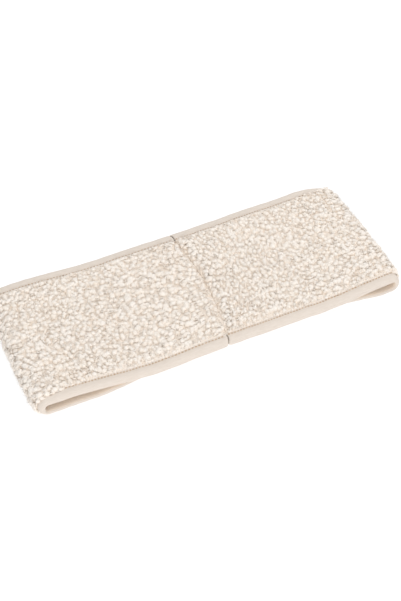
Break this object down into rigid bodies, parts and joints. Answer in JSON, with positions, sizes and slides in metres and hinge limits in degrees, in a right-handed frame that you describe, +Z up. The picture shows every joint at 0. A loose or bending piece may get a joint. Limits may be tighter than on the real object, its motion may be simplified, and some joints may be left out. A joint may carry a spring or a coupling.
{
  "type": "spa headband",
  "caption": "Wide stretchy loop of curly pile cloth with bound edges, folded flat, which opens round to hold hair back from the face.",
  "frame": {"origin": "centre of the footprint, on the surface that the folded band lies on", "axes": "+X along the band from fold to fold, +Y across the band, +Z up from the surface"},
  "size_m": [0.25, 0.098, 0.0154],
  "materials": {
    "sherpa_pile": "curly matte pile",
    "knit_backing": "matte fine knit",
    "binding_tape": "smooth soft tape",
    "thread": "twisted thread"
  },
  "bodies": {
    "base": {"sherpa_base": "sherpa_pile", "front_binding_base": "binding_tape", "back_binding_base": "binding_tape"},
    "right_lower_inner": {"sherpa_right_lower_inner": "sherpa_pile", "front_binding_right_lower_inner": "binding_tape", "back_binding_right_lower_inner": "binding_tape"},
    "right_lower_middle": {"sherpa_right_lower_middle": "sherpa_pile", "front_binding_right_lower_middle": "binding_tape", "back_binding_right_lower_middle": "binding_tape"},
    "right_lower_outer": {"sherpa_right_lower_outer": "sherpa_pile", "front_binding_right_lower_outer": "binding_tape", "back_binding_right_lower_outer": "binding_tape"},
    "right_fold": {"sherpa_right_fold": "sherpa_pile", "front_binding_right_fold": "binding_tape", "back_binding_right_fold": "binding_tape"},
    "right_upper_outer": {"sherpa_right_upper_outer": "sherpa_pile", "front_binding_right_upper_outer": "binding_tape", "back_binding_right_upper_outer": "binding_tape"},
    "right_upper_middle": {"sherpa_right_upper_middle": "sherpa_pile", "front_binding_right_upper_middle": "binding_tape", "back_binding_right_upper_middle": "binding_tape"},
    "right_upper_inner": {"sherpa_right_upper_inner": "sherpa_pile", "front_binding_right_upper_inner": "binding_tape", "back_binding_right_upper_inner": "binding_tape"},
    "right_top": {"sherpa_right_top": "sherpa_pile", "front_binding_right_top": "binding_tape", "back_binding_right_top": "binding_tape", "seam_allowance_right": "knit_backing"},
    "left_lower_inner": {"sherpa_left_lower_inner": "sherpa_pile", "front_binding_left_lower_inner": "binding_tape", "back_binding_left_lower_inner": "binding_tape"},
    "left_lower_middle": {"sherpa_left_lower_middle": "sherpa_pile", "front_binding_left_lower_middle": "binding_tape", "back_binding_left_lower_middle": "binding_tape"},
    "left_lower_outer": {"sherpa_left_lower_outer": "sherpa_pile", "front_binding_left_lower_outer": "binding_tape", "back_binding_left_lower_outer": "binding_tape"},
    "left_fold": {"sherpa_left_fold": "sherpa_pile", "front_binding_left_fold": "binding_tape", "back_binding_left_fold": "binding_tape"},
    "left_upper_outer": {"sherpa_left_upper_outer": "sherpa_pile", "front_binding_left_upper_outer": "binding_tape", "back_binding_left_upper_outer": "binding_tape"},
    "left_upper_middle": {"sherpa_left_upper_middle": "sherpa_pile", "front_binding_left_upper_middle": "binding_tape", "back_binding_left_upper_middle": "binding_tape"},
    "left_upper_inner": {"sherpa_left_upper_inner": "sherpa_pile", "front_binding_left_upper_inner": "binding_tape", "back_binding_left_upper_inner": "binding_tape"},
    "left_top": {"sherpa_left_top": "sherpa_pile", "front_binding_left_top": "binding_tape", "back_binding_left_top": "binding_tape", "seam_allowance_left": "knit_backing", "seam_thread": "thread"}
  },
  "joints": [
    {"name": "loop_open", "type": "hinge", "parent": "base", "child": "right_lower_inner", "pos_m": [0.019, 0, 0.005], "axis": [0, -1, 0], "range_deg": [0, 28]},
    {"name": "right_bend_lower_middle", "type": "hinge", "parent": "right_lower_inner", "child": "right_lower_middle", "pos_m": [0.057, 0, 0.005], "axis": [0, -1, 0], "range_deg": [0, 28]},
    {"name": "right_bend_lower_outer", "type": "hinge", "parent": "right_lower_middle", "child": "right_lower_outer", "pos_m": [0.095, 0, 0.005], "axis": [0, -1, 0], "range_deg": [0, 28]},
    {"name": "right_fold_lower", "type": "hinge", "parent": "right_lower_outer", "child": "right_fold", "pos_m": [0.12, 0, 0.005], "axis": [0, -1, 0], "range_deg": [-84, 0]},
    {"name": "right_fold_upper", "type": "hinge", "parent": "right_fold", "child": "right_upper_outer", "pos_m": [0.12, 0, 0.0104], "axis": [0, -1, 0], "range_deg": [-84, 0]},
    {"name": "right_bend_upper_outer", "type": "hinge", "parent": "right_upper_outer", "child": "right_upper_middle", "pos_m": [0.095, 0, 0.0104], "axis": [0, -1, 0], "range_deg": [0, 28]},
    {"name": "right_bend_upper_middle", "type": "hinge", "parent": "right_upper_middle", "child": "right_upper_inner", "pos_m": [0.057, 0, 0.0104], "axis": [0, -1, 0], "range_deg": [0, 28]},
    {"name": "right_bend_upper_inner", "type": "hinge", "parent": "right_upper_inner", "child": "right_top", "pos_m": [0.019, 0, 0.0104], "axis": [0, -1, 0], "range_deg": [0, 28]},
    {"name": "left_bend_lower_inner", "type": "hinge", "parent": "base", "child": "left_lower_inner", "pos_m": [-0.019, 0, 0.005], "axis": [0, 1, 0], "range_deg": [0, 28]},
    {"name": "left_bend_lower_middle", "type": "hinge", "parent": "left_lower_inner", "child": "left_lower_middle", "pos_m": [-0.057, 0, 0.005], "axis": [0, 1, 0], "range_deg": [0, 28]},
    {"name": "left_bend_lower_outer", "type": "hinge", "parent": "left_lower_middle", "child": "left_lower_outer", "pos_m": [-0.095, 0, 0.005], "axis": [0, 1, 0], "range_deg": [0, 28]},
    {"name": "left_fold_lower", "type": "hinge", "parent": "left_lower_outer", "child": "left_fold", "pos_m": [-0.12, 0, 0.005], "axis": [0, 1, 0], "range_deg": [-84, 0]},
    {"name": "left_fold_upper", "type": "hinge", "parent": "left_fold", "child": "left_upper_outer", "pos_m": [-0.12, 0, 0.0104], "axis": [0, 1, 0], "range_deg": [-84, 0]},
    {"name": "left_bend_upper_outer", "type": "hinge", "parent": "left_upper_outer", "child": "left_upper_middle", "pos_m": [-0.095, 0, 0.0104], "axis": [0, 1, 0], "range_deg": [0, 28]},
    {"name": "left_bend_upper_middle", "type": "hinge", "parent": "left_upper_middle", "child": "left_upper_inner", "pos_m": [-0.057, 0, 0.0104], "axis": [0, 1, 0], "range_deg": [0, 28]},
    {"name": "left_bend_upper_inner", "type": "hinge", "parent": "left_upper_inner", "child": "left_top", "pos_m": [-0.019, 0, 0.0104], "axis": [0, 1, 0], "range_deg": [0, 28]}
  ],
  "couplings": [
    {"joint": "right_bend_lower_middle", "follows": "loop_open", "ratio": 1},
    {"joint": "right_bend_lower_outer", "follows": "loop_open", "ratio": 1},
    {"joint": "right_fold_lower", "follows": "loop_open", "ratio": -3},
    {"joint": "right_fold_upper", "follows": "loop_open", "ratio": -3},
    {"joint": "right_bend_upper_outer", "follows": "loop_open", "ratio": 1},
    {"joint": "right_bend_upper_middle", "follows": "loop_open", "ratio": 1},
    {"joint": "right_bend_upper_inner", "follows": "loop_open", "ratio": 1},
    {"joint": "left_bend_lower_inner", "follows": "loop_open", "ratio": 1},
    {"joint": "left_bend_lower_middle", "follows": "loop_open", "ratio": 1},
    {"joint": "left_bend_lower_outer", "follows": "loop_open", "ratio": 1},
    {"joint": "left_fold_lower", "follows": "loop_open", "ratio": -3},
    {"joint": "left_fold_upper", "follows": "loop_open", "ratio": -3},
    {"joint": "left_bend_upper_outer", "follows": "loop_open", "ratio": 1},
    {"joint": "left_bend_upper_middle", "follows": "loop_open", "ratio": 1},
    {"joint": "left_bend_upper_inner", "follows": "loop_open", "ratio": 1}
  ]
}
